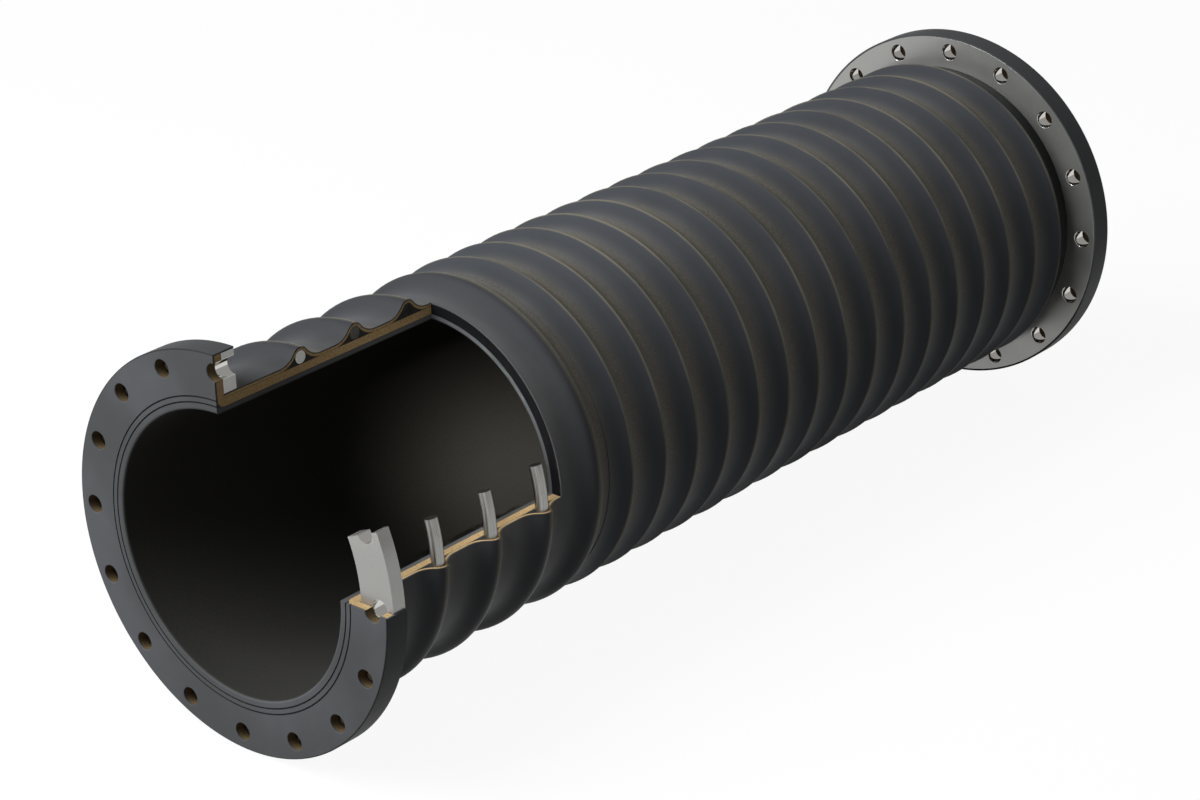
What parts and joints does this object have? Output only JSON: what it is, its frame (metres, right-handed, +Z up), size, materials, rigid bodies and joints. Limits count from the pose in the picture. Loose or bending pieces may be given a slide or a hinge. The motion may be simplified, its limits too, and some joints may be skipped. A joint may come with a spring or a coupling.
{
  "type": "slurry suction hose",
  "caption": "Flanged rubber suction hose with wire rings in its wall, and a quarter cut away at one end to show the layers.",
  "frame": {"origin": "centre of the bolt circle on the whole (far) flange's sealing face", "axes": "+X along the hose axis, out of the whole flange; +Z up when the hose is installed level; the hose reaches towards -X and the removed quarter is at -Y, +Z"},
  "size_m": [1.63, 0.565, 0.565],
  "materials": {
    "liner_rubber": "matt wear-resistant rubber",
    "cover_rubber": "matt black cover rubber with a fine grain",
    "filler_rubber": "matt soft rubber",
    "textile_ply": "tan woven cord, rubberised",
    "backing_steel": "smooth machined steel",
    "wire_steel": "drawn steel wire"
  },
  "bodies": {
    "root": {"rubber_liner": "liner_rubber", "inner_ply": "textile_ply", "outer_ply": "textile_ply", "rubber_cover": "cover_rubber", "near_backing_ring": "backing_steel", "far_backing_ring": "backing_steel", "wire_ring_01": "wire_steel", "wire_ring_02": "wire_steel", "wire_ring_03": "wire_steel", "wire_ring_04": "wire_steel", "wire_ring_05": "wire_steel", "wire_ring_06": "wire_steel", "wire_ring_07": "wire_steel", "wire_ring_08": "wire_steel", "wire_ring_09": "wire_steel", "wire_ring_10": "wire_steel", "wire_ring_11": "wire_steel", "wire_ring_12": "wire_steel", "wire_ring_13": "wire_steel", "wire_ring_14": "wire_steel", "wire_ring_15": "wire_steel", "wire_ring_16": "wire_steel", "wire_ring_17": "wire_steel", "wire_ring_18": "wire_steel", "wire_ring_19": "wire_steel", "wire_ring_20": "wire_steel", "filler_bead_01": "filler_rubber", "filler_bead_02": "filler_rubber", "filler_bead_03": "filler_rubber", "filler_bead_04": "filler_rubber", "filler_bead_05": "filler_rubber", "filler_bead_06": "filler_rubber", "filler_bead_07": "filler_rubber", "filler_bead_08": "filler_rubber", "filler_bead_09": "filler_rubber", "filler_bead_10": "filler_rubber", "filler_bead_11": "filler_rubber", "filler_bead_12": "filler_rubber", "filler_bead_13": "filler_rubber", "filler_bead_14": "filler_rubber", "filler_bead_15": "filler_rubber", "filler_bead_16": "filler_rubber", "filler_bead_17": "filler_rubber", "filler_bead_18": "filler_rubber", "filler_bead_19": "filler_rubber", "filler_bead_20": "filler_rubber"}
  },
  "joints": []
}
